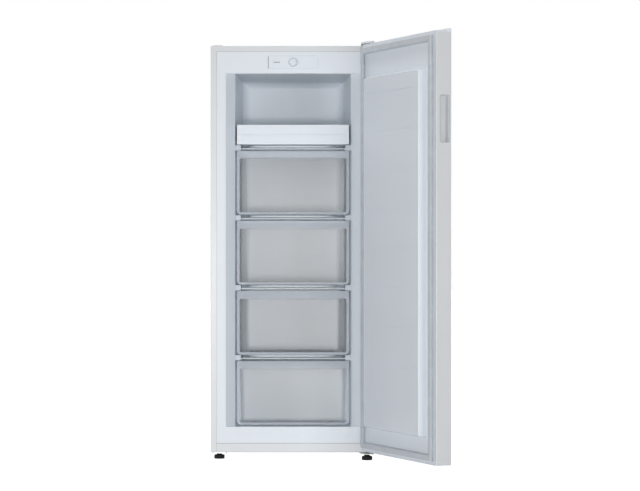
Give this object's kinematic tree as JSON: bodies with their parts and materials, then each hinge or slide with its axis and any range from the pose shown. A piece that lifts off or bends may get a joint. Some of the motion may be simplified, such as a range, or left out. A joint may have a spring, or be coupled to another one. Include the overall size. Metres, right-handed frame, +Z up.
{
  "type": "upright freezer",
  "caption": "Free-standing white upright freezer with one hinged door, a shallow tray and clear drawers on wire evaporator shelves.",
  "frame": {"origin": "on the floor under the middle of the cabinet's footprint, without the door", "axes": "+Z up, -Y out of the front, +X to the right of someone facing the open freezer"},
  "size_m": [0.7808, 1.043, 1.4175],
  "materials": {
    "black_enamel": "black enamel",
    "black_plastic": "black moulded plastic",
    "black_rubber": "black rubber",
    "clear_plastic": "clear moulded plastic",
    "copper": "drawn copper",
    "foam": "rigid foam, sealed in",
    "galvanised": "dull galvanised sheet",
    "grey_seal": "soft grey vinyl seal",
    "lens": "small translucent lens",
    "white_enamel": "satin white enamel on steel sheet",
    "white_plastic": "smooth white moulded plastic",
    "white_rubbery": "natural nylon",
    "white_wire": "light grey coating on wire and tube",
    "zinc_plated": "zinc-plated pressed steel"
  },
  "bodies": {
    "cabinet": {"back_panel": "galvanised", "back_panel_screws": "zinc_plated", "base_plate": "galvanised", "bottom_rail": "white_enamel", "cabinet_insulation": "foam", "compressor": "black_enamel", "compressor_grommets": "black_rubber", "compressor_rail": "zinc_plated", "condenser_tubes": "zinc_plated", "control_fascia": "white_plastic", "control_plate": "white_plastic", "cord_gland": "black_plastic", "evaporator_shelf_1": "white_wire", "evaporator_shelf_2": "white_wire", "evaporator_shelf_3": "white_wire", "evaporator_shelf_4": "white_wire", "filter_drier": "copper", "hinge_and_foot_screws": "zinc_plated", "hinge_hole_cover": "white_plastic", "indicator_lens": "lens", "inner_liner": "white_plastic", "left_foot_plate": "zinc_plated", "left_roller_bracket": "zinc_plated", "left_side_panel": "white_enamel", "lower_hinge_bracket": "zinc_plated", "lower_hinge_pin": "black_enamel", "refrigerant_lines": "copper", "right_roller_bracket": "zinc_plated", "right_side_panel": "white_enamel", "roller_axles": "zinc_plated", "shelf_clips": "white_plastic", "terminal_cover": "black_plastic", "thermostat_body": "white_rubbery", "top_panel": "white_enamel", "upper_hinge_bracket": "black_enamel", "upper_hinge_cover": "white_plastic", "upper_hinge_pin": "zinc_plated"},
    "door": {"door_skin": "white_enamel", "door_inner_panel": "white_plastic", "door_gasket": "grey_seal", "door_top_cap": "white_plastic", "door_bottom_cap": "white_plastic", "door_insulation": "foam", "handle_cup": "white_plastic", "hinge_bushes": "white_rubbery"},
    "drawer_1_body": {"drawer_1": "clear_plastic", "drawer_1_front": "clear_plastic"},
    "drawer_2_body": {"drawer_2": "clear_plastic", "drawer_2_front": "clear_plastic"},
    "drawer_3_body": {"drawer_3": "clear_plastic", "drawer_3_front": "clear_plastic"},
    "drawer_4_body": {"drawer_4": "clear_plastic", "drawer_4_front": "clear_plastic"},
    "tray_body": {"top_tray": "white_plastic"},
    "knob_body": {"thermostat_knob": "white_plastic"},
    "right_foot_body": {"right_front_foot": "black_plastic"},
    "left_foot_body": {"left_front_foot": "black_plastic"},
    "right_roller_body": {"right_rear_roller": "black_plastic"},
    "left_roller_body": {"left_rear_roller": "black_plastic"}
  },
  "joints": [
    {"name": "door_hinge", "type": "hinge", "parent": "cabinet", "child": "door", "pos_m": [0.263, -0.2865, 0.7], "axis": [0, 0, 1], "range_deg": [-113, 22]},
    {"name": "drawer_1_slide", "type": "slide", "parent": "cabinet", "child": "drawer_1_body", "axis": [0, -1, 0], "range_m": [0, 0.3]},
    {"name": "drawer_2_slide", "type": "slide", "parent": "cabinet", "child": "drawer_2_body", "axis": [0, -1, 0], "range_m": [0, 0.3]},
    {"name": "drawer_3_slide", "type": "slide", "parent": "cabinet", "child": "drawer_3_body", "axis": [0, -1, 0], "range_m": [0, 0.3]},
    {"name": "drawer_4_slide", "type": "slide", "parent": "cabinet", "child": "drawer_4_body", "axis": [0, -1, 0], "range_m": [0, 0.18]},
    {"name": "tray_slide", "type": "slide", "parent": "cabinet", "child": "tray_body", "axis": [0, -1, 0], "range_m": [0, 0.3]},
    {"name": "thermostat_turn", "type": "hinge", "parent": "cabinet", "child": "knob_body", "pos_m": [0, -0.2475, 1.3496], "axis": [0, -1, 0], "range_deg": [-135, 135]},
    {"name": "right_foot_turn", "type": "hinge", "parent": "cabinet", "child": "right_foot_body", "pos_m": [0.251, -0.2735, 0.01], "axis": [0, 0, 1], "range_deg": [-360, 360]},
    {"name": "left_foot_turn", "type": "hinge", "parent": "cabinet", "child": "left_foot_body", "pos_m": [-0.251, -0.2195, 0.01], "axis": [0, 0, 1], "range_deg": [-360, 360]},
    {"name": "right_roller_spin", "type": "hinge", "parent": "cabinet", "child": "right_roller_body", "pos_m": [0.244, 0.2045, 0.0105], "axis": [1, 0, 0], "continuous": true},
    {"name": "left_roller_spin", "type": "hinge", "parent": "cabinet", "child": "left_roller_body", "pos_m": [-0.244, 0.2045, 0.0105], "axis": [1, 0, 0], "continuous": true}
  ]
}
